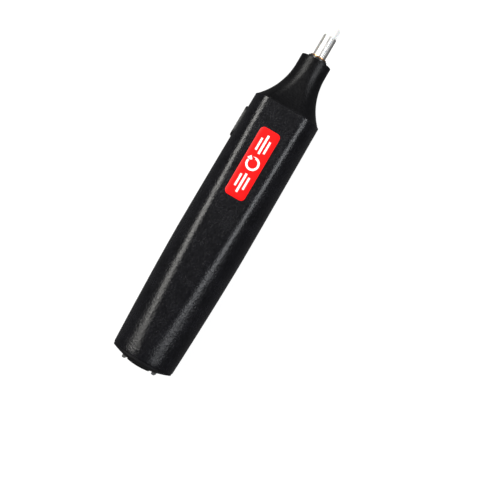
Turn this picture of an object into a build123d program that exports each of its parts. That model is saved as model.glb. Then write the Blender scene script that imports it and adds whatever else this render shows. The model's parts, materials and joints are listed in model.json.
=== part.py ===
"""Pen-shaped battery eraser: a black barrel, a flared nose, a spinning collet and a battery drawer.

Everything is modelled about the tool axis. x runs forward from the barrel's rear rim, y to the left
and z up through the badge facet. At export all pieces move together, so that the row's origin lies on
the plane of the barrel's flat back, half way along the whole tool.
"""

from build123d import *
import os
from math import atan2, ceil, cos, pi, sin, sqrt

# Barrel shell
BARREL_LENGTH = 112.0
REAR_RADIUS = 13.1
BELLY_RADIUS = 14.5
BELLY_X = 52.0
FRONT_RADIUS = 14.1
SHELL_WALL = 1.8
BACK_FLAT = 12.2  # from the tool axis to the flat back
BACK_ROUND = 2.5
FACET_DEPTH = 3.1  # how far the badge facet cuts in at the shoulder
FACET_START_X = 4.0
FACET_ROUND_FRONT = 4.6
FACET_ROUND_REAR = 10.0
GUIDE_RIB_WIDTH = 1.2
GUIDE_RIB_Z = -5.4

# Nose cone
NOSE_LENGTH = 22.6
NOZZLE_RADIUS = 6.4
NOZZLE_STRAIGHT = 4.5
NOSE_INSET = 0.35  # the nose starts this far inside the barrel's outline
SPIGOT_LENGTH = 5.0
SPIGOT_WALL = 1.5

# Badge
BADGE_LENGTH = 29.5
BADGE_WIDTH = 8.6
BADGE_CORNER = 1.8
BADGE_X = BARREL_LENGTH - 25.5
BADGE_THICKNESS = 0.5
BADGE_PROUD = 0.08

# Eraser stick and collet
ERASER_DIAMETER = 5.0
ERASER_LENGTH = 26.5
ERASER_OUT = 4.2  # how far the stick stands out of the collet
COLLET_WALL = 0.22
COLLET_REACH = 10.8  # from the nozzle's end to the collet's tip
COLLET_SLITS = 4
SLIT_WIDTH = 0.45
SLIT_LENGTH = 13.5
SLIT_ANGLE = 30
COLLET_TAIL = 6.0  # the stretch that the drive coupling's spigot fills
COUPLING_NECK = 2.4
GRUB_RADIUS = 0.75

# Nose bearing
BEARING_LENGTH = 8.0
BEARING_WALL = 0.6
BEARING_REACH = 0.5  # how far the bearing stands out of its collar
COLLAR_WALL = 0.55
COLLAR_REACH = 1.2  # how far the collar stands out of the nozzle
COLLAR_LENGTH = 9.0

# Motor, a flat-sided can
MOTOR_DIAMETER = 20.1
MOTOR_FLAT = 15.1
MOTOR_CAN_LENGTH = 20.0
MOTOR_BELL_LENGTH = 4.0
MOTOR_BOSS_DIAMETER = 6.1
MOTOR_BOSS_LENGTH = 1.6
MOTOR_SHEET = 0.7
SHAFT_DIAMETER = 2.0
SHAFT_REACH = 9.6
ROTOR_DIAMETER = 12.4
ROTOR_POLES = 3
POLE_SHOE = 1.0
NECK_WIDTH = 2.2
MAGNET_THICKNESS = 2.6
BUSH_RADIUS = 2.2
BUSH_LENGTH = 2.3
BELL_WALL = 1.2
COMMUTATOR_RADIUS = 2.1
TERMINAL_Y = 4.0

# Cells
CELL_DIAMETER = 10.5
CELL_LENGTH = 44.5
CELL_NUB_DIAMETER = 3.8
CELL_NUB_LENGTH = 1.0
CELL_SLEEVE = 0.12
CELL_GAP = 0.2
CELL_SPRING_LENGTH = 3.5
CONTACT_SHEET = 0.4

# Drawer and end cap
DOME_RISE = 3.4
DOME_PAD_RISE = 0.5
CAP_FLANGE = 0.7
CAP_INSET = 0.25
PLUG_LENGTH = 6.5
DRAWER_WALL = 1.6
DRAWER_TOP = -3.2  # the height of the tray's rim, from the tool axis
DRAWER_FLOOR = -7.4
DRAWER_TONGUE = 3.5  # how far the tray's tongue reaches into the plug
LATCH_SPACING = 13.4
LATCH_WIDTH = 1.5
LATCH_HEIGHT = 4.6
LATCH_TRAVEL = 0.9
LATCH_TIP_X = -3.8
LATCH_X0 = 0.8
LATCH_X1 = 4.8
LATCH_INNER_Y = 3.2
LATCH_PAD_DEPTH = 0.7  # how far its side pad reaches into the barrel's channel
LATCH_FIT = 0.15

# Push button and switch
BUTTON_X = BARREL_LENGTH - 12.8
BUTTON_LENGTH = 13.4
BUTTON_HEIGHT = 6.2
BUTTON_PROUD = 0.7
BUTTON_TRAVEL = 1.0
BUTTON_FLANGE = 0.9
BUTTON_FLANGE_Y = 11.4
BUTTON_ROOF_Y = 12.0
BUTTON_RIBS = 5
BOARD_THICKNESS = 1.0
BOARD_Y = 5.9  # the face that carries the contacts
BOARD_X0 = BUTTON_X - 6.9
BOARD_X1 = BUTTON_X + 6.9
BOARD_LOW = -8.3
BOARD_HIGH = 5.2
LEAF_SHEET = 0.3
LEAF_WIDTH = 2.0
LEAF_SPACING = 6.4
PEG_RADIUS = 0.8
PEG_SPACING = 9.0

# Motor cradle
CRADLE_RADIUS = 11.8
CRADLE_RIM = -4.8
CRADLE_BOTTOM = -10.2
CRADLE_FLOOR = -8.8
BULKHEAD = 1.5
BULKHEAD_TOP = 7.4
CLAMP_WIDTH = 5.5
CLAMP_THICKNESS = 1.0
SCREW_RADIUS = 0.95
SCREW_HEAD_RADIUS = 1.8
SCREW_HEAD = 0.7
SCREW_LENGTH = 4.5

# Wiring
CONTACT_LEAF = 0.3
SUPPLY_Y = 4.9
SUPPLY_WIDTH = 4.0
RIVET_HEAD = 0.3
WIRE_RADIUS = 0.45
WIRE_Z = 8.15
WIRE_BEND = 1.2

# Fits
RUNNING = 0.06  # radial clearance of a turning or sliding round fit
LOOSE = 0.3  # clearance beside a piece that slides
SEAT = 0.1  # clearance between moulded pieces that stay put
TOUCH = 0.02  # the hairline between pieces that bear on each other

# Places along the axis, worked out from the sizes above
SHOULDER_X = BARREL_LENGTH
NOZZLE_X = SHOULDER_X + NOSE_LENGTH
COLLET_TIP_X = NOZZLE_X + COLLET_REACH
ERASER_TIP_X = COLLET_TIP_X + ERASER_OUT
ERASER_TAIL_X = ERASER_TIP_X - ERASER_LENGTH
COLLET_TAIL_X = ERASER_TAIL_X - TOUCH - COLLET_TAIL
COLLET_BORE = ERASER_DIAMETER / 2 + 0.03
COLLET_RADIUS = COLLET_BORE + COLLET_WALL
BEARING_BORE = COLLET_RADIUS + RUNNING
BEARING_RADIUS = BEARING_BORE + BEARING_WALL
COLLAR_RADIUS = BEARING_RADIUS + TOUCH + COLLAR_WALL
NOSE_HOLLOW_X = NOZZLE_X - COLLAR_LENGTH - 2
CELLS_X = PLUG_LENGTH + TOUCH + CONTACT_SHEET
LEFT_CELL_X = CELLS_X + TOUCH
RIGHT_CELL_X = CELLS_X + CELL_SPRING_LENGTH
FRONT_PLATE_X = RIGHT_CELL_X + CELL_LENGTH + TOUCH
DRAWER_WALL_X = FRONT_PLATE_X + CONTACT_SHEET + TOUCH
DRAWER_FRONT_X = DRAWER_WALL_X + DRAWER_WALL
CRADLE_X = DRAWER_FRONT_X + 2.0
MOTOR_BELL_X = CRADLE_X + BULKHEAD + MOTOR_BOSS_LENGTH
MOTOR_CAN_X = MOTOR_BELL_X + MOTOR_BELL_LENGTH
MOTOR_FRONT_X = MOTOR_CAN_X + MOTOR_CAN_LENGTH
SHAFT_TIP_X = MOTOR_FRONT_X + MOTOR_BOSS_LENGTH + SHAFT_REACH
CRADLE_FRONT_X = SHOULDER_X - SPIGOT_LENGTH - SEAT
BOSS_BLOCK = 3.6
TERMINAL_X = MOTOR_BELL_X + 1.6
COMMUTATOR_X = MOTOR_BELL_X + 1.4
CORE_X0 = MOTOR_CAN_X + 5.5
CORE_X1 = MOTOR_FRONT_X - 4.5
COUPLING_X = MOTOR_FRONT_X + BOSS_BLOCK + 0.6
BRIDGE_Y = BOARD_Y + TOUCH + LEAF_SHEET + BUTTON_TRAVEL + 0.05
CELL_Y = (CELL_DIAMETER + CELL_GAP) / 2
DRAWER_RADIUS = REAR_RADIUS - SHELL_WALL - LOOSE
LATCH_Y = LATCH_SPACING / 2


def at(x=0, y=0, z=0):
    """A place in the tool-axis frame."""
    return Location((x, y, z))


def rod(radius, x0, x1, y=0, z=0, hole=0):
    """A round bar, or a tube if it has a hole, from x0 to x1 along the tool axis."""
    bar = Cylinder(radius, x1 - x0, rotation=(0, 90, 0), align=(Align.CENTER,) * 3)
    if hole:
        bar -= Cylinder(hole, x1 - x0 + 1, rotation=(0, 90, 0), align=(Align.CENTER,) * 3)
    return at((x0 + x1) / 2, y, z) * bar


def block(x0, x1, y0, y1, z0, z1):
    """A box between two corners."""
    size = (x1 - x0, y1 - y0, z1 - z0)
    return at((x0 + x1) / 2, (y0 + y1) / 2, (z0 + z1) / 2) * Box(*size)


def turned(points):
    """The solid that an outline of (x, radius) points makes when it turns about the tool axis."""
    outline = Polyline(*[(x, r, 0) for x, r in points], close=True)
    return revolve(make_face(outline), Axis.X, 360)


def mirrored(shape):
    """The shape with its mirror image on the other side of the y = 0 plane."""
    return Compound([*shape.solids(), *mirror(shape, Plane.XZ).solids()])


# Body sections --------------------------------------------------------------------------------


def barrel_radius(x):
    """The barrel swells gently from its rear rim to its belly and draws in again to the shoulder."""
    if x < BELLY_X:
        return BELLY_RADIUS - (BELLY_RADIUS - REAR_RADIUS) * ((BELLY_X - x) / BELLY_X) ** 1.5
    run = (x - BELLY_X) / (BARREL_LENGTH - BELLY_X)
    return BELLY_RADIUS - (BELLY_RADIUS - FRONT_RADIUS) * run**1.5


def facet_depth(x):
    """The badge facet starts as a hair-wide flat near the rear rim and deepens to the shoulder."""
    run = max(0, (x - FACET_START_X) / (BARREL_LENGTH - FACET_START_X))
    return max(0.02, FACET_DEPTH * run**0.85)


def facet_round(x):
    """The facet's edges are soft at the rear and crisper at the shoulder."""
    fade = (1 - x / BARREL_LENGTH) ** 2
    return FACET_ROUND_FRONT + (FACET_ROUND_REAR - FACET_ROUND_FRONT) * fade


def corner(radius, flat, fillet):
    """The centre (y, z) of the arc that rounds a circle of this radius into a flat at this height."""
    return sqrt((radius - fillet) ** 2 - (flat - fillet) ** 2), flat - fillet


def section(x, radius, top, top_round, back, back_round):
    """A circle with a flat on top and one at the back, their corners rounded, at this x."""
    top_y, top_z = corner(radius, top, top_round)
    back_y, back_z = corner(radius, back, back_round)
    top_angle = atan2(top_z, top_y)
    back_angle = atan2(-back_z, back_y)

    def point(y, z, r, angle, side):
        return Vector(x, side * (y + r * cos(angle)), z + r * sin(angle))

    def arc(y, z, r, start, end, side):
        return ThreePointArc(*[point(y, z, r, a, side) for a in (start, (start + end) / 2, end)])

    def flank(side):
        return [
            arc(top_y, top_z, top_round, pi / 2, top_angle, side),
            arc(0, 0, radius, top_angle, back_angle, side),
            arc(back_y, -back_z, back_round, back_angle, -pi / 2, side),
        ]

    top_line = Line((x, -top_y, top), (x, top_y, top))
    back_line = Line((x, -back_y, -back), (x, back_y, -back))
    return Wire([top_line, *flank(1), back_line, *flank(-1)])


def barrel_section(x, inset=0):
    """The barrel's outline at x, drawn in all round by inset."""
    radius = barrel_radius(x)
    top = radius - facet_depth(x)
    return section(
        x,
        radius - inset,
        top - inset,
        max(0.4, facet_round(x) - inset),
        BACK_FLAT + TOUCH - inset,
        max(0.4, BACK_ROUND - inset),
    )


def barrel_form(x0, x1, inset=0):
    """The solid inside the barrel's outline between two stations."""
    steps = max(2, ceil((x1 - x0) / 15))
    stations = [x0 + (x1 - x0) * i / steps for i in range(steps + 1)]
    return Solid.make_loft([barrel_section(x, inset) for x in stations])


def nose_radius(x):
    """The nose flares on one arc from the nozzle's straight end back to the shoulder."""
    drop = FRONT_RADIUS - NOSE_INSET - NOZZLE_RADIUS
    run = NOSE_LENGTH - NOZZLE_STRAIGHT
    flare = (run**2 + drop**2) / (2 * drop)
    back = max(0, SHOULDER_X + run - x)
    return NOZZLE_RADIUS + flare - sqrt(flare**2 - back**2)


def nose_section(x, inset=0):
    """The nose's outline at x: the barrel's own outline at the shoulder, round at the nozzle."""
    radius = nose_radius(x)
    share = (radius - NOZZLE_RADIUS) / (FRONT_RADIUS - NOSE_INSET - NOZZLE_RADIUS)
    top_cut = max(0.01, FACET_DEPTH * share)
    back_cut = max(0.01, (FRONT_RADIUS - BACK_FLAT) * share)
    soft = 0.8 * (NOZZLE_RADIUS - inset)
    top_round = soft + (FACET_ROUND_FRONT - inset - soft) * share
    back_round = soft + (BACK_ROUND - inset - soft) * share
    return section(
        x,
        radius - inset,
        radius - top_cut - inset,
        max(0.4, top_round),
        radius - back_cut - inset,
        max(0.4, back_round),
    )


def nose_form(x0, x1, inset=0):
    """The solid inside the nose's outline between two stations."""
    steps = max(2, ceil((x1 - x0) / 2.5))
    stations = [x0 + (x1 - x0) * i / steps for i in range(steps + 1)]
    return Solid.make_loft([nose_section(x, inset) for x in stations])


# Housing --------------------------------------------------------------------------------------


def badge_outline(grow=0):
    """A rectangle with rounded corners, seen from above."""
    length = BADGE_LENGTH + 2 * grow
    return RectangleRounded(length, BADGE_WIDTH + 2 * grow, BADGE_CORNER + grow)


def badge_layer(low, high, grow=0):
    """The slice of the badge's column that lies between two offsets from the facet's surface."""
    column = at(BADGE_X, 0, 0) * extrude(badge_outline(grow), BELLY_RADIUS + 1)
    reach = BADGE_LENGTH / 2 + 3
    form = barrel_form(BADGE_X - reach, BADGE_X + reach)
    return (column & (at(z=high) * form)) - (at(z=low) * form)


def button_column(grow, y0, y1):
    """A column with the button's rounded outline, across the barrel from y0 to y1."""
    outline = SlotOverall(BUTTON_LENGTH + 2 * grow, BUTTON_HEIGHT + 2 * grow)
    return at(BUTTON_X, y1, 0) * (Rotation(90, 0, 0) * extrude(outline, y1 - y0))


def barrel_shell():
    outer = barrel_form(0, BARREL_LENGTH)
    below = block(-1, BARREL_LENGTH + 1, -20, 20, -30, -BACK_FLAT)
    outer -= below
    cavity = barrel_form(-0.01, BARREL_LENGTH + 0.01, SHELL_WALL)
    half = GUIDE_RIB_WIDTH / 2
    rib = block(2, CRADLE_X - SEAT, 7, BELLY_RADIUS, GUIDE_RIB_Z - half, GUIDE_RIB_Z + half)
    cavity -= mirrored(rib - rod(REAR_RADIUS - SHELL_WALL, -1, CRADLE_X))
    shell = outer - cavity
    channel_half = LATCH_HEIGHT / 2 + LOOSE
    channel_y = DRAWER_RADIUS + LATCH_PAD_DEPTH + SEAT
    shell -= mirrored(block(-1, LATCH_X1 + LOOSE, 8, channel_y, -channel_half, channel_half))
    shell -= button_column(SEAT, 8, BELLY_RADIUS + 2)
    shell -= badge_layer(-BADGE_THICKNESS, 1, SEAT / 2)
    return shell


def badge():
    return badge_layer(TOUCH - BADGE_THICKNESS, BADGE_PROUD)


def nose_cone():
    outer = nose_form(SHOULDER_X, NOZZLE_X)
    hollow = nose_form(SHOULDER_X - 0.01, NOSE_HOLLOW_X, SHELL_WALL + SEAT)
    spigot_inset = SHELL_WALL + SEAT
    sleeve = barrel_form(0, BARREL_LENGTH, spigot_inset)
    sleeve -= barrel_form(-0.01, BARREL_LENGTH + 0.01, spigot_inset + SPIGOT_WALL)
    spigot = sleeve & block(SHOULDER_X - SPIGOT_LENGTH, SHOULDER_X, -20, 20, -20, 20)
    cone = outer - hollow
    cone -= rod(COLLAR_RADIUS + TOUCH, NOZZLE_X - COLLAR_LENGTH + COLLAR_REACH, NOZZLE_X + 1)
    cone -= rod(COLLET_RADIUS + LOOSE, NOSE_HOLLOW_X - 1, NOZZLE_X)
    return cone + spigot


def bearing_collar():
    x1 = NOZZLE_X + COLLAR_REACH
    collar = rod(COLLAR_RADIUS, x1 - COLLAR_LENGTH, x1, hole=BEARING_RADIUS + TOUCH)
    return chamfer(collar.edges().group_by(Axis.X)[-1].sort_by(SortBy.RADIUS)[-1], 0.25)


def front_bearing():
    x1 = NOZZLE_X + COLLAR_REACH + BEARING_REACH
    return rod(BEARING_RADIUS, x1 - BEARING_LENGTH, x1, hole=BEARING_BORE)


# Motor ----------------------------------------------------------------------------------------


def motor_form(x0, x1, inset=0):
    """The motor's outline, round at the sides and flat above and below."""
    half = MOTOR_FLAT / 2 - inset
    return rod(MOTOR_DIAMETER / 2 - inset, x0, x1) & block(x0, x1, -20, 20, -half, half)


def motor_can():
    can = motor_form(MOTOR_CAN_X + TOUCH, MOTOR_FRONT_X)
    can -= motor_form(MOTOR_CAN_X, MOTOR_FRONT_X - MOTOR_SHEET, MOTOR_SHEET)
    can += rod(MOTOR_BOSS_DIAMETER / 2, MOTOR_FRONT_X, MOTOR_FRONT_X + MOTOR_BOSS_LENGTH)
    return can - rod(BUSH_RADIUS + TOUCH, MOTOR_FRONT_X - 1, SHAFT_TIP_X)


def motor_bell():
    bell = motor_form(MOTOR_BELL_X, MOTOR_CAN_X)
    bell -= motor_form(MOTOR_BELL_X + BELL_WALL, MOTOR_CAN_X + 1, BELL_WALL)
    bell += rod(MOTOR_BOSS_DIAMETER / 2, MOTOR_BELL_X - MOTOR_BOSS_LENGTH, MOTOR_BELL_X)
    bell -= rod(BUSH_RADIUS + TOUCH, CRADLE_X, MOTOR_BELL_X + 2)
    return bell - mirrored(terminal_tab(0.05))


def motor_bushes():
    rear_x = MOTOR_BELL_X - MOTOR_BOSS_LENGTH + 0.2
    front_x = MOTOR_FRONT_X + MOTOR_BOSS_LENGTH - 0.2
    return Compound(
        [
            rod(BUSH_RADIUS, rear_x, rear_x + BUSH_LENGTH, hole=SHAFT_DIAMETER / 2 + RUNNING),
            rod(BUSH_RADIUS, front_x - BUSH_LENGTH, front_x, hole=SHAFT_DIAMETER / 2 + RUNNING),
        ]
    )


def motor_magnets():
    outer = MOTOR_DIAMETER / 2 - MOTOR_SHEET - TOUCH
    inner = outer - MAGNET_THICKNESS
    ring = rod(outer, MOTOR_CAN_X + 1.5, MOTOR_FRONT_X - 1.7, hole=inner)
    return mirrored(ring & block(0, 200, 1, 20, -5.5, 5.5))


def terminal_tab(grow=0):
    """The left terminal's upright tab."""
    return block(
        TERMINAL_X - grow,
        TERMINAL_X + CONTACT_SHEET + grow,
        TERMINAL_Y - 0.8 - grow,
        TERMINAL_Y + 0.8 + grow,
        4.8 - grow,
        9.2 + grow,
    )


def motor_terminals():
    return mirrored(terminal_tab())


def motor_brushes():
    x0 = COMMUTATOR_X + 0.6
    tip = COMMUTATOR_RADIUS + 0.03
    carbon = block(x0, x0 + 1.6, tip, 3.0, -0.8, 0.8)
    leaf = block(x0, x0 + 1.6, 3.0, 3.3, -0.8, 4.7)
    return mirrored(carbon + leaf)


def motor_shaft():
    shaft = rod(SHAFT_DIAMETER / 2, MOTOR_BELL_X - 1.0, SHAFT_TIP_X)
    return chamfer(shaft.edges().filter_by(GeomType.CIRCLE), 0.2)


def pole_turns():
    """One turn about the tool axis for each pole of the rotor."""
    return [Rotation(360 / ROTOR_POLES * i, 0, 0) for i in range(ROTOR_POLES)]


def rotor_core():
    radius = ROTOR_DIAMETER / 2
    ring = rod(radius, CORE_X0, CORE_X1, hole=radius - POLE_SHOE)
    shoe = ring & block(CORE_X0, CORE_X1, -5.1, 5.1, 2.0, 20)
    neck = block(CORE_X0, CORE_X1, -NECK_WIDTH / 2, NECK_WIDTH / 2, 0, radius - POLE_SHOE / 2)
    core = rod(2.6, CORE_X0, CORE_X1)
    for turn in pole_turns():
        core += turn * (neck + shoe)
    return core - rod(SHAFT_DIAMETER / 2 + TOUCH, CORE_X0 - 1, CORE_X1 + 1)


def rotor_windings():
    half = NECK_WIDTH / 2 + TOUCH
    coil = block(CORE_X0 - 1.2, CORE_X1 + 1.2, -half - 1.0, half + 1.0, 3.1, 4.6)
    coil = fillet(coil.edges().filter_by(Axis.Z), 0.8)
    coil -= block(CORE_X0 - TOUCH, CORE_X1 + TOUCH, -half, half, 3, 6)
    return Compound([solid for turn in pole_turns() for solid in (turn * coil).solids()])


def commutator():
    drum = rod(COMMUTATOR_RADIUS, COMMUTATOR_X, COMMUTATOR_X + 3.0, hole=SHAFT_DIAMETER / 2 + TOUCH)
    cut = block(COMMUTATOR_X - 1, COMMUTATOR_X + 4, -0.15, 0.15, COMMUTATOR_RADIUS - 0.4, 5)
    for turn in pole_turns():
        drum -= turn * (Rotation(60, 0, 0) * cut)
    return drum


# Motor cradle and its clamp -------------------------------------------------------------------


def screw_places():
    """Where the clamp's screws stand, behind the motor and in front of it."""
    return [(CRADLE_X + MOTOR_BELL_X) / 2, MOTOR_FRONT_X + BOSS_BLOCK / 2]


def motor_cradle():
    trough = rod(CRADLE_RADIUS, CRADLE_X, CRADLE_FRONT_X)
    trough &= block(CRADLE_X, CRADLE_FRONT_X, -20, 20, CRADLE_BOTTOM, CRADLE_RIM)
    front_room = rod(CRADLE_RADIUS - BULKHEAD, CRADLE_X, CRADLE_FRONT_X + 1)
    front_room &= block(CRADLE_X, CRADLE_FRONT_X + 1, -20, 20, CRADLE_FLOOR, 20)
    cradle = trough - front_room
    disc = rod(10.6, CRADLE_X, MOTOR_FRONT_X + BULKHEAD + TOUCH)
    disc &= block(CRADLE_X, CRADLE_FRONT_X, -20, 20, CRADLE_BOTTOM, BULKHEAD_TOP)
    cradle += disc - block(CRADLE_X + BULKHEAD, MOTOR_FRONT_X + TOUCH, -20, 20, -20, 20)
    rest = trough & block(MOTOR_CAN_X + 2, MOTOR_FRONT_X - 2, -20, 20, -20, 20)
    cradle += rest - motor_form(CRADLE_X, CRADLE_FRONT_X, -SEAT)
    half = CLAMP_WIDTH / 2
    boss_top = MOTOR_FLAT / 2
    boss_low = MOTOR_BOSS_DIAMETER / 2 + 0.35
    front_boss_x = MOTOR_FRONT_X + TOUCH
    cradle += block(CRADLE_X, MOTOR_BELL_X - SEAT, -half, half, boss_low, boss_top)
    cradle += block(front_boss_x, front_boss_x + BOSS_BLOCK, -half, half, boss_low, boss_top)
    cradle -= rod(MOTOR_BOSS_DIAMETER / 2 + SEAT, CRADLE_X - 1, CRADLE_X + BULKHEAD + 0.5)
    cradle -= rod(MOTOR_BOSS_DIAMETER / 2 + SEAT, MOTOR_FRONT_X - 1, MOTOR_FRONT_X + BOSS_BLOCK)
    for x in screw_places():
        cradle -= at(x, 0, boss_top - 2) * Cylinder(SCREW_RADIUS + TOUCH, 6)
    inner_rail = block(BOARD_X0 + 1, BOARD_X1 - 1, 3.5, 4.8, CRADLE_FLOOR - 0.1, -7.2)
    outer_rail = block(BOARD_X0 + 1, BOARD_X1 - 1, 6.0, 7.2, CRADLE_FLOOR - 0.1, -7.2)
    return cradle + inner_rail + outer_rail


def clamp_seat_z():
    """The underside of the clamp, a hairline above the motor's upper flat."""
    return MOTOR_FLAT / 2 + TOUCH


def motor_clamp():
    z0 = clamp_seat_z()
    x1 = MOTOR_FRONT_X + BOSS_BLOCK
    bar = block(CRADLE_X, x1, -CLAMP_WIDTH / 2, CLAMP_WIDTH / 2, z0, z0 + CLAMP_THICKNESS)
    bar = fillet(bar.edges().filter_by(Axis.Z), 1.2)
    for x in screw_places():
        bar -= at(x, 0, z0) * Cylinder(SCREW_RADIUS + SEAT, 6)
    return bar


def clamp_screws():
    head_z = clamp_seat_z() + CLAMP_THICKNESS + TOUCH
    base = (Align.CENTER, Align.CENTER, Align.MIN)
    head = Cylinder(SCREW_HEAD_RADIUS, SCREW_HEAD, align=base)
    head = fillet(head.edges().group_by(Axis.Z)[-1], 0.35)
    thread = at(z=-SCREW_LENGTH) * Cylinder(SCREW_RADIUS, SCREW_LENGTH, align=base)
    slot = at(z=SCREW_HEAD) * Box(5, 0.5, 0.8)
    screw = head + thread - slot
    return Compound([(at(x, 0, head_z) * screw).solid() for x in screw_places()])


# Wiring and switch ----------------------------------------------------------------------------


def supply_contacts():
    base = CRADLE_X - TOUCH - CONTACT_LEAF
    tip = DRAWER_FRONT_X + TOUCH + RIVET_HEAD + 0.03
    bend = [(base, 8.9), (base, 2.8), (tip, 0.7), (tip, -0.7), (base, -2.8), (base, -4.2)]
    front = [(x + CONTACT_LEAF, z) for x, z in reversed(bend)]
    face = make_face(Polyline(*[(x, 0, z) for x, z in bend + front], close=True))
    strip = extrude(face, SUPPLY_WIDTH / 2, both=True)
    return mirrored(at(0, SUPPLY_Y, 0) * strip)


def switch_board():
    return block(BOARD_X0, BOARD_X1, BOARD_Y - BOARD_THICKNESS, BOARD_Y, BOARD_LOW, BOARD_HIGH)


def switch_leaf_places():
    """The two contact strips stand either side of the button's spring."""
    return [BUTTON_X - LEAF_SPACING / 2, BUTTON_X + LEAF_SPACING / 2]


def switch_contacts():
    y0 = BOARD_Y + TOUCH
    half = LEAF_WIDTH / 2
    strips = [
        block(x - half, x + half, y0, y0 + LEAF_SHEET, -2.8, 5.6) for x in switch_leaf_places()
    ]
    return Compound([strip.solid() for strip in strips])


def wire(*points):
    """An insulated wire along a path with rounded corners."""
    if len(points) > 2:
        path = FilletPolyline(*points, radius=WIRE_BEND)
    else:
        path = Line(*points)
    start = Plane(origin=path @ 0, z_dir=path % 0)
    return sweep(start * Circle(WIRE_RADIUS), path)


def red_wire():
    start = (CRADLE_X + TOUCH, -TERMINAL_Y, WIRE_Z)
    return wire(start, (TERMINAL_X - TOUCH, -TERMINAL_Y, WIRE_Z))


def black_wire():
    x = switch_leaf_places()[0]
    y = BOARD_Y + TOUCH + LEAF_SHEET / 2
    return wire((CRADLE_X + TOUCH, y, WIRE_Z), (x, y, WIRE_Z), (x, y, 5.6 + TOUCH))


def switch_wire():
    x = switch_leaf_places()[1]
    y = BOARD_Y + TOUCH + LEAF_SHEET / 2
    start = (TERMINAL_X + CONTACT_SHEET + TOUCH, TERMINAL_Y, WIRE_Z)
    return wire(start, (x - 4, TERMINAL_Y, WIRE_Z), (x, y, WIRE_Z), (x, y, 5.6 + TOUCH))


# Spindle --------------------------------------------------------------------------------------


def drive_coupling():
    tail = COLLET_TAIL_X - TOUCH
    body = turned(
        [
            (COUPLING_X, 0),
            (COUPLING_X, 3.2),
            (COUPLING_X + 0.4, 3.6),
            (SHAFT_TIP_X + 3, 3.6),
            (SHAFT_TIP_X + 5, COUPLING_NECK),
            (tail - 3, COUPLING_NECK),
            (tail - 2, 3.6),
            (tail, 3.6),
            (tail, COLLET_BORE - TOUCH),
            (ERASER_TAIL_X - TOUCH, COLLET_BORE - TOUCH),
            (ERASER_TAIL_X - TOUCH, 0),
        ]
    )
    body -= rod(SHAFT_DIAMETER / 2 + TOUCH, COUPLING_X - 1, SHAFT_TIP_X + 0.2)
    return body - at(COUPLING_X + 3, 0, 3) * Cylinder(GRUB_RADIUS + TOUCH, 4.2)


def grub_screw():
    length = 2.2
    screw = Cylinder(GRUB_RADIUS, length) - at(z=length / 2) * Box(3, 0.3, 0.8)
    return at(COUPLING_X + 3, 0, SHAFT_DIAMETER / 2 + TOUCH + length / 2) * screw


def collet():
    tube = rod(COLLET_RADIUS, COLLET_TAIL_X, COLLET_TIP_X, hole=COLLET_BORE)
    for i in range(COLLET_SLITS // 2):
        slit = block(COLLET_TIP_X - SLIT_LENGTH, COLLET_TIP_X + 1, -4, 4, -SLIT_WIDTH / 2, SLIT_WIDTH / 2)
        tube -= Rotation(SLIT_ANGLE + 360 / COLLET_SLITS * i, 0, 0) * slit
    return tube


def collet_ring():
    x1 = NOSE_HOLLOW_X - 0.3
    ring = rod(4.4, x1 - 2.2, x1, hole=COLLET_RADIUS + TOUCH)
    rims = ring.edges().filter_by(GeomType.CIRCLE).sort_by(SortBy.RADIUS)[-2:]
    return chamfer(rims, 0.3)


def eraser_stick():
    stick = rod(ERASER_DIAMETER / 2, ERASER_TAIL_X, ERASER_TIP_X)
    return fillet(stick.edges().filter_by(GeomType.CIRCLE), 0.5)


# Push button ----------------------------------------------------------------------------------


def button_cap():
    x0 = BUTTON_X - BUTTON_LENGTH / 2 - 2
    x1 = BUTTON_X + BUTTON_LENGTH / 2 + 2
    cap = button_column(0, BUTTON_FLANGE_Y, 20) & barrel_form(x0, x1, -BUTTON_PROUD)
    half = BUTTON_RIBS // 2
    for i in range(-half, half + 1):
        groove = Cylinder(0.35, 12)
        cap -= at(BUTTON_X + i * 1.9, barrel_radius(BUTTON_X) + BUTTON_PROUD + 0.1) * groove
    cap += button_column(BUTTON_FLANGE, BUTTON_FLANGE_Y - BUTTON_FLANGE, BUTTON_FLANGE_Y)
    cap -= button_column(-1.2, 5, BUTTON_ROOF_Y)
    for side in (-1, 1):
        cap += button_peg(side, PEG_RADIUS, BRIDGE_Y + LEAF_SHEET + TOUCH)
        cap += button_peg(side, PEG_RADIUS - 0.35, BRIDGE_Y)
    return cap


def button_peg(side, radius, y0):
    """A peg under the button's roof, as long as it takes to reach y0."""
    length = BUTTON_ROOF_Y + 0.5 - y0
    return at(BUTTON_X + side * PEG_SPACING / 2, y0 + length / 2) * (
        Rotation(90, 0, 0) * Cylinder(radius, length)
    )


def contact_bridge():
    plate = block(BUTTON_X - 5.3, BUTTON_X + 5.3, BRIDGE_Y, BRIDGE_Y + LEAF_SHEET, -2.6, 2.6)
    plate -= at(BUTTON_X, BRIDGE_Y) * (Rotation(90, 0, 0) * Cylinder(2.0, 3))
    for side in (-1, 1):
        plate -= button_peg(side, PEG_RADIUS - 0.3, BRIDGE_Y - 1)
    return plate


def coil(length, radius, wire_radius, turns):
    """A spring that stands on the origin and rises along z, its ends closed."""
    pitch = (length - 2 * wire_radius) / turns
    path = Helix(pitch, length - 2 * wire_radius, radius)
    start = Plane(origin=path @ 0, z_dir=path % 0)
    return at(z=wire_radius) * sweep(start * Circle(wire_radius), path, is_frenet=True)


def button_spring():
    y0 = BOARD_Y + TOUCH + 0.1
    spring = coil(BUTTON_ROOF_Y - TOUCH - 0.1 - y0, 1.5, 0.2, 5)
    return at(BUTTON_X, y0) * (Rotation(-90, 0, 0) * spring)


# Battery drawer -------------------------------------------------------------------------------


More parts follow.
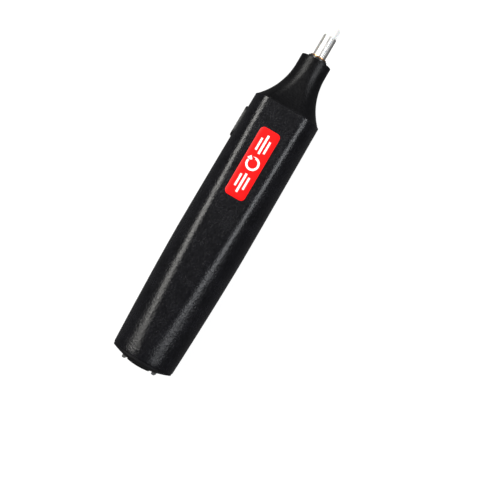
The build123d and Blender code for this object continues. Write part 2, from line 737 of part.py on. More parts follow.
def dome(rise):
    """The end cap's flange with a domed face that rises rearwards from its edge."""
    edge = REAR_RADIUS - CAP_INSET
    ball = (edge**2 + (rise - CAP_FLANGE) ** 2) / (2 * (rise - CAP_FLANGE))
    middle = (ball - rise - sqrt(ball**2 - (edge / 2) ** 2), edge / 2)
    outline = [
        Line((-TOUCH, 0), (-TOUCH, edge)),
        Line((-TOUCH, edge), (-CAP_FLANGE, edge)),
        ThreePointArc((-CAP_FLANGE, edge), middle, (-rise, 0)),
        Line((-rise, 0), (-TOUCH, 0)),
    ]
    return revolve(make_face(Wire(outline)), Axis.X, 360)


def end_cap():
    pad = dome(DOME_RISE + DOME_PAD_RISE) & block(-20, 0, -4.5, 4.5, -6.5, 6.5)
    cap = dome(DOME_RISE) + pad
    cap &= block(-20, 20, -20, 20, CAP_INSET - BACK_FLAT, 20)
    plug = rod(DRAWER_RADIUS, -TOUCH, PLUG_LENGTH)
    cap += plug & block(-1, 20, -20, 20, LOOSE + SHELL_WALL - BACK_FLAT, 20)
    half = LATCH_HEIGHT / 2 + LATCH_FIT
    cap -= block(LATCH_X0 - LATCH_FIT, LATCH_X1 + LATCH_FIT, -20, 20, -half, half)
    inner = LATCH_Y - LATCH_WIDTH / 2 - LATCH_TRAVEL - LATCH_FIT
    outer = LATCH_Y + LATCH_WIDTH / 2 + LATCH_FIT
    cap -= mirrored(block(-10, LATCH_X0, inner, outer, -half, half))
    notch_x = PLUG_LENGTH - DRAWER_TONGUE - SEAT
    cap -= block(notch_x, PLUG_LENGTH + 1, -6.1, 6.1, DRAWER_FLOOR - SEAT, -5.7)
    return cap


def drawer_tray():
    tray = rod(DRAWER_RADIUS, PLUG_LENGTH + TOUCH, DRAWER_FRONT_X)
    tray &= block(0, 200, -20, 20, DRAWER_FLOOR, DRAWER_TOP)
    pockets = mirrored(rod(CELL_DIAMETER / 2 + SEAT, 0, DRAWER_WALL_X, CELL_Y))
    tray -= pockets
    tray -= block(0, DRAWER_WALL_X, -2.5, 2.5, DRAWER_FLOOR + DRAWER_WALL, 20)
    wall = rod(DRAWER_RADIUS, DRAWER_WALL_X, DRAWER_FRONT_X)
    tray += wall & block(0, 200, -20, 20, DRAWER_FLOOR, 4.8)
    tray += block(PLUG_LENGTH - DRAWER_TONGUE, PLUG_LENGTH + 1, -6, 6, DRAWER_FLOOR, -5.8)
    return tray - mirrored(rod(1.05, 0, 200, CELL_Y))


def cell_bridge():
    x0 = PLUG_LENGTH + TOUCH
    plate = block(x0, x0 + CONTACT_SHEET, -9.4, 9.4, -2.9, 2.9)
    return fillet(plate.edges().filter_by(Axis.X), 1.5)


def drawer_contacts():
    rivet = rod(4.3, FRONT_PLATE_X, FRONT_PLATE_X + CONTACT_SHEET, CELL_Y)
    rivet += rod(1.0, FRONT_PLATE_X, DRAWER_FRONT_X + 0.1, CELL_Y)
    rivet += rod(2.5, DRAWER_FRONT_X + TOUCH, DRAWER_FRONT_X + TOUCH + RIVET_HEAD, CELL_Y)
    return mirrored(rivet)


def cell_springs():
    length = CELL_SPRING_LENGTH - 0.04
    spring = coil(length - 0.1, 2.6, 0.25, 3)
    left = at(FRONT_PLATE_X - length + 0.02, CELL_Y) * (Rotation(0, 90, 0) * spring)
    right = at(CELLS_X + 0.07, -CELL_Y) * (Rotation(0, 90, 0) * spring)
    return Compound([left.solid(), right.solid()])


def cell_core(side):
    """A cell's steel can. The left one's button end faces the cap, the right one's the motor."""
    y = side * CELL_Y
    radius = CELL_DIAMETER / 2 - CELL_SLEEVE - 0.01
    nub = CELL_NUB_DIAMETER / 2
    if side > 0:
        x0 = LEFT_CELL_X
        body = rod(radius, x0 + CELL_NUB_LENGTH, x0 + CELL_LENGTH, y)
        return fillet(body.edges().filter_by(GeomType.CIRCLE), 0.5) + rod(nub, x0, x0 + 2, y)
    x0 = RIGHT_CELL_X
    body = rod(radius, x0, x0 + CELL_LENGTH - CELL_NUB_LENGTH, y)
    body = fillet(body.edges().filter_by(GeomType.CIRCLE), 0.5)
    return body + rod(nub, x0 + CELL_LENGTH - 2, x0 + CELL_LENGTH, y)


def cell_film(side):
    """The printed film round a cell's can."""
    x0 = LEFT_CELL_X + CELL_NUB_LENGTH if side > 0 else RIGHT_CELL_X
    x1 = x0 + CELL_LENGTH - CELL_NUB_LENGTH
    radius = CELL_DIAMETER / 2
    return rod(radius, x0 + 0.7, x1 - 0.7, side * CELL_Y, hole=radius - CELL_SLEEVE)


def latch(side):
    half = LATCH_HEIGHT / 2
    pad = block(LATCH_X0, LATCH_X1, LATCH_INNER_Y, DRAWER_RADIUS + LATCH_PAD_DEPTH, -half, half)
    pad = chamfer(pad.edges().group_by(Axis.Y)[-1].filter_by(Axis.Z), 0.4)
    inner = LATCH_Y - LATCH_WIDTH / 2
    tip = block(LATCH_TIP_X, LATCH_X0 + 1, inner, inner + LATCH_WIDTH, -half, half)
    tip = fillet(tip.edges().group_by(Axis.X)[0], 0.5)
    arm = pad + tip
    return arm if side > 0 else mirror(arm, Plane.XZ)


def latch_spring():
    length = 2 * (LATCH_INNER_Y - TOUCH - 0.1)
    x = (LATCH_X0 + LATCH_X1) / 2
    return at(x, -length / 2) * (Rotation(-90, 0, 0) * coil(length, 1.4, 0.22, 5))


PIECES = {
    "barrel_shell": barrel_shell,
    "badge": badge,
    "nose_cone": nose_cone,
    "bearing_collar": bearing_collar,
    "front_bearing": front_bearing,
    "motor_can": motor_can,
    "motor_bell": motor_bell,
    "motor_bushes": motor_bushes,
    "motor_magnets": motor_magnets,
    "motor_terminals": motor_terminals,
    "motor_brushes": motor_brushes,
    "motor_cradle": motor_cradle,
    "motor_clamp": motor_clamp,
    "clamp_screws": clamp_screws,
    "supply_contacts": supply_contacts,
    "switch_board": switch_board,
    "switch_contacts": switch_contacts,
    "red_wire": red_wire,
    "black_wire": black_wire,
    "switch_wire": switch_wire,
    "motor_shaft": motor_shaft,
    "rotor_core": rotor_core,
    "rotor_windings": rotor_windings,
    "commutator": commutator,
    "drive_coupling": drive_coupling,
    "grub_screw": grub_screw,
    "collet": collet,
    "collet_ring": collet_ring,
    "eraser_stick": eraser_stick,
    "button_cap": button_cap,
    "contact_bridge": contact_bridge,
    "button_spring": button_spring,
    "end_cap": end_cap,
    "drawer_tray": drawer_tray,
    "cell_bridge": cell_bridge,
    "drawer_contacts": drawer_contacts,
    "cell_springs": cell_springs,
    "cell_left": lambda: cell_core(1),
    "cell_right": lambda: cell_core(-1),
    "film_left": lambda: cell_film(1),
    "film_right": lambda: cell_film(-1),
    "latch_left": lambda: latch(1),
    "latch_right": lambda: latch(-1),
    "latch_spring": latch_spring,
}


def main():
    os.makedirs("parts", exist_ok=True)
    to_row_frame = Location((-(LATCH_TIP_X + ERASER_TIP_X) / 2, 0, BACK_FLAT))
    for name, make in PIECES.items():
        export_step(to_row_frame * make(), f"parts/{name}.step")


main()
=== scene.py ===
import json
from math import atan, atan2, ceil, cos, pi, radians, sin, sqrt
import bmesh
import bpy
from mathutils import Matrix, Vector

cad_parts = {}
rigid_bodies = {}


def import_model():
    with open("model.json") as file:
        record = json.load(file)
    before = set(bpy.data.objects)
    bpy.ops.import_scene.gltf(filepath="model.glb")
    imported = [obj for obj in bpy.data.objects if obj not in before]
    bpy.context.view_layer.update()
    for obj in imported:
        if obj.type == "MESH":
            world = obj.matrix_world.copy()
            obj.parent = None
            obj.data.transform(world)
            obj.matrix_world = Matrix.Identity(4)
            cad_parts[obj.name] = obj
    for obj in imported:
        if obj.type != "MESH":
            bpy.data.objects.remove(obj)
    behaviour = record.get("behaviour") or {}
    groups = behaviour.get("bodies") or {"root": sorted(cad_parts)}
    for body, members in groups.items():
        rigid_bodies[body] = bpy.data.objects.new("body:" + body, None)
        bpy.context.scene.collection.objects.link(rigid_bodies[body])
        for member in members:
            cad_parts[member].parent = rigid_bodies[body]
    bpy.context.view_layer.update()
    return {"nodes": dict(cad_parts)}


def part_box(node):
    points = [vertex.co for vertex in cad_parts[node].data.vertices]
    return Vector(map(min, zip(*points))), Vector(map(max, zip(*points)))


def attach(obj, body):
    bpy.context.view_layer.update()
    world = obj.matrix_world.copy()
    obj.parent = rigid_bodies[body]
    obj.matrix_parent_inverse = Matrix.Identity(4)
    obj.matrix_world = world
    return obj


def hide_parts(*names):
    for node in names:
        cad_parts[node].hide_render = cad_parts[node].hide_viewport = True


for unused in list(bpy.data.objects):
    bpy.data.objects.remove(unused)
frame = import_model()

# ---- Barrel ------------------------------------------------------------------------------------
# One injection-moulded ABS tube, spark-eroded to a fine matt texture. It swells at the middle, and
# a flat facet for the badge deepens towards the shoulder. A second flat runs down the back.
MM = 0.001
barrel_low, barrel_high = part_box("barrel_shell")
REAR_X = barrel_low.x / MM
BARREL_LENGTH = (barrel_high.x - barrel_low.x) / MM
AXIS_Z = 12.2
REAR_RADIUS = 13.1
BELLY_RADIUS = 14.5
BELLY_X = 52.0
FRONT_RADIUS = 14.1
SHELL_WALL = 1.8
FACET_DEPTH = 3.1
FACET_START_X = 4.0
FACET_ROUND_FRONT = 4.6
FACET_ROUND_REAR = 10.0
BACK_ROUND = 2.5
RIM_ROUND = 0.35


def place(x, y, z):
    """A point given in millimetres from the tool axis and the rear rim, in the frame's metres."""
    return Vector(((x + REAR_X) * MM, y * MM, (z + AXIS_Z) * MM))


def arc(centre, radius, start, end, steps):
    """Points along an arc, its start included and its end left for the next stretch."""
    turns = [start + (end - start) * i / steps for i in range(steps)]
    return [(centre[0] + radius * cos(a), centre[1] + radius * sin(a)) for a in turns]


def outline(radius, top, top_round, back, back_round):
    """The (y, z) points round a circle that has a flat on top and one at the back."""
    top_y = sqrt((radius - top_round) ** 2 - (top - top_round) ** 2)
    back_y = sqrt((radius - back_round) ** 2 - (back - back_round) ** 2)
    top_z, back_z = top - top_round, back_round - back
    top_turn, back_turn = atan2(top_z, top_y), atan2(back_z, back_y)
    half = [(top_y * i / 6, top) for i in range(6)]
    half += arc((top_y, top_z), top_round, pi / 2, top_turn, 10)
    half += arc((0, 0), radius, top_turn, back_turn, 28)
    half += arc((back_y, back_z), back_round, back_turn, -pi / 2, 8)
    half += [(back_y * (1 - i / 6), -back) for i in range(7)]
    return half + [(-y, z) for y, z in half[-2:0:-1]]


def barrel_radius(x):
    if x < BELLY_X:
        return BELLY_RADIUS - (BELLY_RADIUS - REAR_RADIUS) * ((BELLY_X - x) / BELLY_X) ** 1.5
    run = (x - BELLY_X) / (BARREL_LENGTH - BELLY_X)
    return BELLY_RADIUS - (BELLY_RADIUS - FRONT_RADIUS) * run**1.5


def facet_height(x):
    """How far the facet lies from the tool axis."""
    run = max(0, (x - FACET_START_X) / (BARREL_LENGTH - FACET_START_X))
    return barrel_radius(x) - max(0.02, FACET_DEPTH * run**0.85)


def barrel_ring(x, inset=0):
    """The barrel's outline at x, drawn in by inset."""
    soft = FACET_ROUND_FRONT + (FACET_ROUND_REAR - FACET_ROUND_FRONT) * (1 - x / BARREL_LENGTH) ** 2
    points = outline(
        barrel_radius(x) - inset,
        facet_height(x) - inset,
        max(0.4, soft - inset),
        AXIS_Z - inset,
        max(0.4, BACK_ROUND - inset),
    )
    return [(x, y, z) for y, z in points]


def steps_between(start, end, pitch):
    count = max(1, ceil(abs(end - start) / pitch))
    return [start + (end - start) * i / count for i in range(count + 1)]


def smooth(piece, angle=35):
    """Smooth shading that stays crisp at edges sharper than angle."""
    piece.data.polygons.foreach_set("use_smooth", [True] * len(piece.data.polygons))
    piece.data.set_sharp_from_angle(angle=radians(angle))


def mesh_piece(name, points, faces):
    """A mesh object from millimetre points, its normals turned outwards."""
    mesh = bpy.data.meshes.new(name)
    mesh.from_pydata([place(*p) for p in points], [], faces)
    work = bmesh.new()
    work.from_mesh(mesh)
    bmesh.ops.remove_doubles(work, verts=work.verts, dist=1e-6)
    bmesh.ops.recalc_face_normals(work, faces=work.faces)
    work.to_mesh(mesh)
    work.free()
    piece = bpy.data.objects.new(name, mesh)
    bpy.context.scene.collection.objects.link(piece)
    smooth(piece)
    return piece


def skin(name, rings, closed=True):
    """A surface over rings of equally many points; closed joins the last ring to the first."""
    count = len(rings[0])
    points = [p for ring in rings for p in ring]
    faces = []
    for i in range(len(rings) if closed else len(rings) - 1):
        here, there = i * count, (i + 1) % len(rings) * count
        for j in range(count):
            k = (j + 1) % count
            faces.append((here + j, here + k, there + k, there + j))
    return mesh_piece(name, points, faces)


def capped(name, rings):
    """A surface over rings, closed by a flat face at each end."""
    count = len(rings[0])
    piece = skin(name, rings, False)
    work = bmesh.new()
    work.from_mesh(piece.data)
    work.verts.ensure_lookup_table()
    last = len(work.verts) - count
    work.faces.new([work.verts[i] for i in range(count)])
    work.faces.new([work.verts[last + i] for i in range(count)])
    bmesh.ops.recalc_face_normals(work, faces=work.faces)
    work.to_mesh(piece.data)
    work.free()
    smooth(piece)
    return piece


def cut(piece, cutter):
    """Takes the cutter's shape out of the piece."""
    tool = piece.modifiers.new("cut", "BOOLEAN")
    tool.operation, tool.solver, tool.object = "DIFFERENCE", "EXACT", cutter
    bpy.context.view_layer.update()
    drawn = piece.evaluated_get(bpy.context.evaluated_depsgraph_get())
    mesh = bpy.data.meshes.new_from_object(drawn)
    piece.modifiers.clear()
    piece.data = mesh
    bpy.data.objects.remove(cutter)
    smooth(piece)


def box_between(low, high):
    """A plain block, used only as a cutter."""
    xs, ys, zs = zip(low, high)
    points = [(x, y, z) for x in xs for y in ys for z in zs]
    faces = [(0, 1, 3, 2), (4, 6, 7, 5), (0, 4, 5, 1), (2, 3, 7, 6), (0, 2, 6, 4), (1, 5, 7, 3)]
    return mesh_piece("cutter", points, faces)


def plate_ring(length, width, radius, count=9):
    """Points (u, v) round a rectangle with rounded corners, its long sides divided finely."""
    reach, rise = length / 2 - radius, width / 2 - radius
    side = [reach - 2 * reach * i / 60 for i in range(60)]
    ring = [(u, width / 2) for u in side] + arc((-reach, rise), radius, pi / 2, pi, count)
    ring += arc((-reach, -rise), radius, pi, 3 * pi / 2, count) + [(-u, -width / 2) for u in side]
    ring += arc((reach, -rise), radius, -pi / 2, 0, count)
    return ring + arc((reach, rise), radius, 0, pi / 2, count)


def pill_ring(length, width):
    """The same round a strip with half-round ends."""
    return plate_ring(length, width, width / 2 - 0.001)


def bevel(piece, width, segments=2, angle=40):
    """Breaks the piece's sharp edges by a width in millimetres."""
    edge = piece.modifiers.new("edge break", "BEVEL")
    edge.width, edge.segments = width * MM, segments
    edge.limit_method, edge.angle_limit = "ANGLE", radians(angle)
    edge.harden_normals = True


class Shade:
    """A value on a surface. Arithmetic with it adds Math nodes."""

    def __init__(self, finish, socket):
        self.finish, self.socket = finish, socket

    def math(self, operation, first, second=0.0):
        return self.finish.node("Math", {"operation": operation}, {0: first, 1: second})

    def __add__(self, other):
        return self.math("ADD", self, other)

    def __sub__(self, other):
        return self.math("SUBTRACT", self, other)

    def __rsub__(self, other):
        return self.math("SUBTRACT", other, self)

    def __mul__(self, other):
        return self.math("MULTIPLY", self, other)

    def __lt__(self, other):
        return self.math("LESS_THAN", self, other)

    def __gt__(self, other):
        return self.math("GREATER_THAN", self, other)

    def size(self):
        return self.math("ABSOLUTE", self)

    def power(self, exponent):
        return self.math("POWER", self, exponent)

    __radd__ = __add__
    __rmul__ = __mul__


class Finish:
    """A material on one Principled shader, whose unvarying values sit on the shader's sockets."""

    def __init__(self, name, **values):
        self.material = bpy.data.materials.new(name)
        self.material.use_nodes = True
        self.tree = self.material.node_tree
        self.shader = self.tree.nodes["Principled BSDF"]
        for key, value in values.items():
            socket = self.shader.inputs[key.replace("_", " ")]
            socket.default_value = (*value, 1) if isinstance(value, tuple) else value

    def node(self, kind, settings=None, values=None, out=0):
        """Adds a node: its settings first, then its sockets' values or links."""
        made = self.tree.nodes.new("ShaderNode" + kind)
        for key, value in (settings or {}).items():
            if key == "stops":
                self.stops(made.color_ramp, value)
            else:
                setattr(made, key, value)
        for key, value in (values or {}).items():
            if isinstance(value, Shade):
                self.tree.links.new(value.socket, made.inputs[key])
            else:
                made.inputs[key].default_value = value
        return Shade(self, made.outputs[out])

    def stops(self, ramp, places):
        while len(ramp.elements) < len(places):
            ramp.elements.new(0.5)
        for element, (position, level) in zip(ramp.elements, places):
            element.position, element.color = position, (level, level, level, 1)

    def place(self):
        return self.node("TexCoord", out=3)

    def along(self, axis):
        """The row frame's x, y or z, in millimetres."""
        return self.node("SeparateXYZ", None, {0: self.place()}, out="XYZ".index(axis)) * 1000.0

    def speckle(self, grain_mm, detail=2.0, rough=0.5, stretch=(1, 1, 1)):
        """Noise from 0 to 1, with grains of about this size."""
        where = self.node("Mapping", None, {0: self.place(), 3: tuple(s / MM for s in stretch)})
        values = {"Vector": where, "Scale": 1 / grain_mm, "Detail": detail, "Roughness": rough}
        return self.node("TexNoise", None, values)

    def ramp(self, value, *stops):
        return self.node("ValToRGB", {"stops": stops}, {0: value})

    def mix(self, share, first, second):
        """The first colour where share is 0, the second where it is 1."""
        values = {0: share}
        for key, colour in ((6, first), (7, second)):
            values[key] = colour if isinstance(colour, Shade) else (*colour, 1)
        return self.node("Mix", {"data_type": "RGBA"}, values, out=2)

    def feed(self, **shades):
        for key, value in shades.items():
            self.tree.links.new(value.socket, self.shader.inputs[key.replace("_", " ")])

    def bump(self, height, distance_mm):
        values = {"Height": height, "Distance": distance_mm * MM, "Strength": 1.0}
        self.feed(Normal=self.node("Bump", None, values))

    def onto(self, *pieces):
        for piece in pieces:
            piece.data.materials.clear()
            piece.data.materials.append(self.material)


def moulded(name, colour, roughness, grain_mm, depth_mm, mottle=0.35, shine=0.5):
    """Textured moulded plastic: fine spark grain, with a faint cloudiness in its sheen."""
    finish = Finish(name, Specular_IOR_Level=shine)
    grain = finish.speckle(grain_mm, 3.0, 0.6)
    cloud = finish.speckle(grain_mm * 9, 4.0, 0.6)
    light = tuple(min(1, c * (1 + mottle) + 0.001) for c in colour)
    dark = tuple(c * (1 - mottle) for c in colour)
    tone = finish.ramp(grain * 0.6 + cloud * 0.4, (0.35, 0), (0.65, 1))
    sheen = (0.3, roughness - 0.06), (0.7, roughness + 0.08)
    finish.feed(
        Base_Color=finish.mix(tone, dark, light),
        Roughness=finish.ramp(cloud * 0.6 + grain * 0.4, *sheen),
    )
    finish.bump(grain, depth_mm)
    return finish


barrel_black = moulded("barrel_black", (0.0035, 0.0035, 0.0048), 0.24, 0.8, 0.15, 0.6, 0.3)

rings = [
    barrel_ring(RIM_ROUND * (1 - sin(a)), RIM_ROUND * (1 - cos(a)))
    for a in (pi / 2 * i / 4 for i in range(4, 0, -1))
]
rings += [barrel_ring(x) for x in steps_between(RIM_ROUND, BARREL_LENGTH - RIM_ROUND, 1.6)]
rings += [
    barrel_ring(BARREL_LENGTH - RIM_ROUND * (1 - sin(a)), RIM_ROUND * (1 - cos(a)))
    for a in (pi / 2 * i / 4 for i in range(1, 5))
]
rings += [barrel_ring(x, SHELL_WALL) for x in steps_between(BARREL_LENGTH, 0, 4)]
barrel = skin("barrel", rings)

BUTTON_X = BARREL_LENGTH - 12.8
BUTTON_LENGTH = 13.4
BUTTON_HEIGHT = 6.2
WINDOW_GAP = 0.1
window = pill_ring(BUTTON_LENGTH + 2 * WINDOW_GAP, BUTTON_HEIGHT + 2 * WINDOW_GAP)
cut(barrel, capped("cutter", [[(BUTTON_X + u, y, v) for u, v in window] for y in (8, 17)]))
LATCH_CHANNEL_END_X = 5.1
LATCH_CHANNEL_Y = 11.6
LATCH_CHANNEL_HALF = 2.6
for side in (-1, 1):
    ends = sorted((side * 8, side * LATCH_CHANNEL_Y))
    low = (-1, ends[0], -LATCH_CHANNEL_HALF)
    cut(barrel, box_between(low, (LATCH_CHANNEL_END_X, ends[1], LATCH_CHANNEL_HALF)))
bevel(barrel, 0.12)
barrel_black.onto(barrel)
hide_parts("barrel_shell")
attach(barrel, "housing")

# ---- Nose cone ---------------------------------------------------------------------------------
# A second moulding, plugged into the barrel by its spigot. It starts with the barrel's own section
# and flares in on one hollow curve to a short round nozzle with a flat end.
NOSE_LENGTH = 22.6
NOZZLE_RADIUS = 6.4
NOZZLE_STRAIGHT = 4.5
NOSE_INSET = 0.35
SPIGOT_LENGTH = 5.0
SHOULDER_X = BARREL_LENGTH
NOZZLE_X = SHOULDER_X + NOSE_LENGTH
FLARE_DROP = FRONT_RADIUS - NOSE_INSET - NOZZLE_RADIUS
FLARE_RUN = NOSE_LENGTH - NOZZLE_STRAIGHT
FLARE_RADIUS = (FLARE_RUN**2 + FLARE_DROP**2) / (2 * FLARE_DROP)


def nose_ring(x, inset=0):
    back = max(0, SHOULDER_X + FLARE_RUN - x)
    radius = NOZZLE_RADIUS + FLARE_RADIUS - sqrt(FLARE_RADIUS**2 - back**2)
    share = (radius - NOZZLE_RADIUS) / FLARE_DROP
    soft = 0.8 * (NOZZLE_RADIUS - inset)
    points = outline(
        radius - inset,
        radius - inset - max(0.01, FACET_DEPTH * share),
        max(0.4, soft + (FACET_ROUND_FRONT - inset - soft) * share),
        radius - inset - max(0.01, (FRONT_RADIUS - AXIS_Z) * share),
        max(0.4, soft + (BACK_ROUND - inset - soft) * share),
    )
    return [(x, y, z) for y, z in points]


def circle_like(ring, x, radius):
    """A circle at x whose points lie in the same directions as the ring's."""
    turns = [atan2(z, y) for _, y, z in ring]
    return [(x, radius * cos(a), radius * sin(a)) for a in turns]


nose_black = moulded("nose_black", (0.003, 0.003, 0.0036), 0.34, 0.8, 0.12, 0.4, 0.14)
NOZZLE_ROUND = 0.3
COLLAR_RADIUS = 3.98
COLLAR_SEAT = COLLAR_RADIUS + 0.02
COLLAR_SEAT_X = NOZZLE_X - 7.8
COLLET_HOLE = 3.1
HOLLOW_X = NOZZLE_X - 11
SPIGOT_INSET = SHELL_WALL + 0.1
SPIGOT_BORE_INSET = SHELL_WALL + 1.6
spigot = [barrel_ring(x, SPIGOT_INSET) for x in (SHOULDER_X - SPIGOT_LENGTH, SHOULDER_X - 0.05)]
rings = spigot + [nose_ring(SHOULDER_X, 0.2), nose_ring(SHOULDER_X + 0.02, 0.06)]
rings += [nose_ring(x) for x in steps_between(SHOULDER_X + 0.15, NOZZLE_X - NOZZLE_ROUND, 0.6)]
rings += [
    nose_ring(NOZZLE_X - NOZZLE_ROUND * (1 - sin(a)), NOZZLE_ROUND * (1 - cos(a)))
    for a in (pi / 2 * i / 4 for i in range(1, 5))
]
end = rings[-1]
rings += [circle_like(end, NOZZLE_X, COLLAR_RADIUS + 0.15)]
rings += [circle_like(end, x, COLLAR_SEAT) for x in (NOZZLE_X - 0.12, NOZZLE_X - 2, COLLAR_SEAT_X)]
rings += [circle_like(end, x, COLLET_HOLE) for x in (COLLAR_SEAT_X, HOLLOW_X)]
rings += [nose_ring(x, SPIGOT_INSET) for x in steps_between(HOLLOW_X, SHOULDER_X + 0.2, 1.5)]
rings += [barrel_ring(x, SPIGOT_BORE_INSET) for x in (SHOULDER_X, SHOULDER_X - SPIGOT_LENGTH)]
nose = skin("nose", rings)
smooth(nose, 50)
nose_black.onto(nose)
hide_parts("nose_cone")
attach(nose, "housing")

# ---- Badge -------------------------------------------------------------------------------------
# A thin printed plate glued into a shallow pocket on the facet. It carries a plain white picture of
# a turning spindle: an open ring with an arrow head, between two groups of three strokes.
BADGE_X = BARREL_LENGTH - 25.5
BADGE_LENGTH = 29.5
BADGE_WIDTH = 8.6
BADGE_CORNER = 1.8
BADGE_PROUD = 0.08
BADGE_UNDER = 0.3


def badge_ring(inset, drop):
    corner = max(BADGE_CORNER - inset, 0.02)
    strip = plate_ring(BADGE_LENGTH - 2 * inset, BADGE_WIDTH - 2 * inset, corner)
    return [(BADGE_X + u, v, facet_height(BADGE_X + u) + BADGE_PROUD - drop) for u, v in strip]


badge = capped(
    "badge",
    [badge_ring(0, BADGE_UNDER), badge_ring(0, 0.06), badge_ring(0.02, 0.02), badge_ring(0.08, 0)]
    + [badge_ring(BADGE_WIDTH / 2 * share, 0) for share in (0.3, 0.6, 0.85, 0.99)],
)
badge_red = Finish("badge_red", Roughness=0.4, Specular_IOR_Level=0.3)
long_way = badge_red.along("X") - (BADGE_X + REAR_X)
short_way = badge_red.along("Y")
reach = (long_way * long_way + short_way * short_way).power(0.5)
ring_gap = (short_way > 0.0) * ((long_way - 1.6).size() < 0.9)
ring_mark = ((reach - 2.35).size() < 0.42) * (1 - ring_gap)
head_u, head_v = long_way - 1.55, short_way - 2.0
arrow_head = (head_v.size() + head_u.size() * 0.9 < 1.05) * (head_u > -0.5)
run_out = long_way.size()
strokes = (short_way.size() < 0.45) * ((run_out - 8.4).size() < 4.0)
side_strokes = ((short_way.size() - 1.75).size() < 0.4) * ((run_out - 7.9).size() < 2.6)
motif = ring_mark.math("MAXIMUM", ring_mark, arrow_head)
motif = motif.math("MAXIMUM", motif.math("MAXIMUM", motif, strokes), side_strokes)
ink = badge_red.ramp(badge_red.speckle(0.5, 3.0), (0.3, 0), (0.7, 1))
red = badge_red.mix(ink, (0.8, 0.0, 0.0), (0.88, 0.0005, 0.0005))
badge_red.feed(Base_Color=badge_red.mix(motif, red, (0.9, 0.89, 0.88)))
badge_red.bump(motif * 0.6 + badge_red.speckle(0.3) * 0.1, 0.01)
badge_red.onto(badge)
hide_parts("badge")
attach(badge, "housing")

# ---- Nose bearing and its collar ---------------------------------------------------------------
# A sintered bronze bush runs the collet. It is pressed into a black collar that stands a little
# proud of the nozzle.
TURNED_STEPS = 96


def turned(name, profile, steps=TURNED_STEPS):
    """A closed (x, radius) profile turned about the tool axis."""
    rings = [
        [(x, r * cos(2 * pi * i / steps), r * sin(2 * pi * i / steps)) for i in range(steps)]
        for x, r in profile
    ]
    return skin(name, rings)


def tube_profile(x0, x1, outer, inner, soft):
    """A tube's closed profile, its four rims softly broken."""
    s = soft
    return [
        (x0, inner + s), (x0, outer - s), (x0 + s * 0.3, outer - s * 0.3), (x0 + s, outer),
        (x1 - s, outer), (x1 - s * 0.3, outer - s * 0.3), (x1, outer - s),
        (x1, inner + s), (x1 - s * 0.3, inner + s * 0.3), (x1 - s, inner),
        (x0 + s, inner), (x0 + s * 0.3, inner + s * 0.3),
    ]


COLLAR_END_X = NOZZLE_X + 1.2
COLLAR_LENGTH = 9
COLLAR_BORE = 3.43
collar = turned(
    "collar",
    tube_profile(COLLAR_END_X - COLLAR_LENGTH, COLLAR_END_X, COLLAR_RADIUS, COLLAR_BORE, 0.2),
)
collar_black = moulded("collar_black", (0.014, 0.014, 0.014), 0.3, 0.15, 0.003)
collar_black.onto(collar)
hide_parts("bearing_collar")
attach(collar, "housing")

BEARING_END_X = COLLAR_END_X + 0.5
BEARING_LENGTH = 8
BEARING_RADIUS = 3.41
BEARING_BORE = 2.81
bearing = turned(
    "bearing",
    tube_profile(BEARING_END_X - BEARING_LENGTH, BEARING_END_X, BEARING_RADIUS, BEARING_BORE, 0.1),
)


def metal(name, dark, light, roughness, grain_mm, stretch=(1, 1, 1), depth_mm=0.002):
    """Bare or plated metal whose grain may be drawn out one way."""
    finish = Finish(name, Metallic=1.0)
    grain = finish.speckle(grain_mm, 4.0, 0.6, stretch)
    patch = finish.speckle(grain_mm * 12, 3.0)
    finish.feed(
        Base_Color=finish.mix(finish.ramp(patch, (0.3, 0), (0.7, 1)), dark, light),
        Roughness=finish.ramp(grain, (0.25, roughness * 0.75), (0.75, roughness * 1.3)),
    )
    finish.bump(grain, depth_mm)
    return finish


bronze = metal("oiled_bronze", (0.42, 0.2, 0.08), (0.66, 0.36, 0.17), 0.34, 0.12)
bronze.onto(bearing, frame["nodes"]["motor_bushes"])
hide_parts("front_bearing")
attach(bearing, "housing")

# ---- Motor -------------------------------------------------------------------------------------
# A small direct-current motor: drawn steel can with two flats, moulded bell at the back, ferrite
# magnets, a laminated three-pole rotor with enamelled windings, and a copper commutator.
can_steel = metal("can_steel", (0.5, 0.5, 0.5), (0.68, 0.67, 0.65), 0.3, 0.5, (0.08, 1, 1))
ferrite = moulded("ferrite", (0.035, 0.034, 0.034), 0.55, 0.12, 0.006)
bell_white = moulded("bell_white", (0.72, 0.71, 0.67), 0.45, 0.3, 0.003, 0.06)
copper = metal("copper", (0.6, 0.25, 0.12), (0.78, 0.4, 0.2), 0.3, 0.3)
lamination = metal("lamination", (0.3, 0.3, 0.31), (0.42, 0.42, 0.43), 0.4, 0.5, (4, 0.2, 0.2), 0.02)
enamel = Finish("enamelled_wire", Metallic=0.85, Roughness=0.3, Coat_Weight=0.5)
winding = {"Vector": enamel.place(), "Scale": 300.0, "Distortion": 0.6}
turns = enamel.node("TexWave", {"bands_direction": "X"}, winding, out=1)
enamel.feed(Base_Color=enamel.mix(turns, (0.3, 0.09, 0.03), (0.72, 0.3, 0.12)))
enamel.bump(turns, 0.1)


def cad_finish(finish, *names, round_off=0):
    """The finish on CAD nodes that show their own shape."""
    for name in names:
        node = frame["nodes"][name]
        finish.onto(node)
        smooth(node)
        if round_off:
            bevel(node, round_off)


cad_finish(can_steel, "motor_can", "motor_shaft", "motor_clamp", "grub_screw")
cad_finish(bell_white, "motor_bell")
cad_finish(ferrite, "motor_magnets")
cad_finish(bronze, "motor_bushes")
cad_finish(copper, "motor_terminals", "motor_brushes", "commutator")
cad_finish(lamination, "rotor_core")
cad_finish(enamel, "rotor_windings")

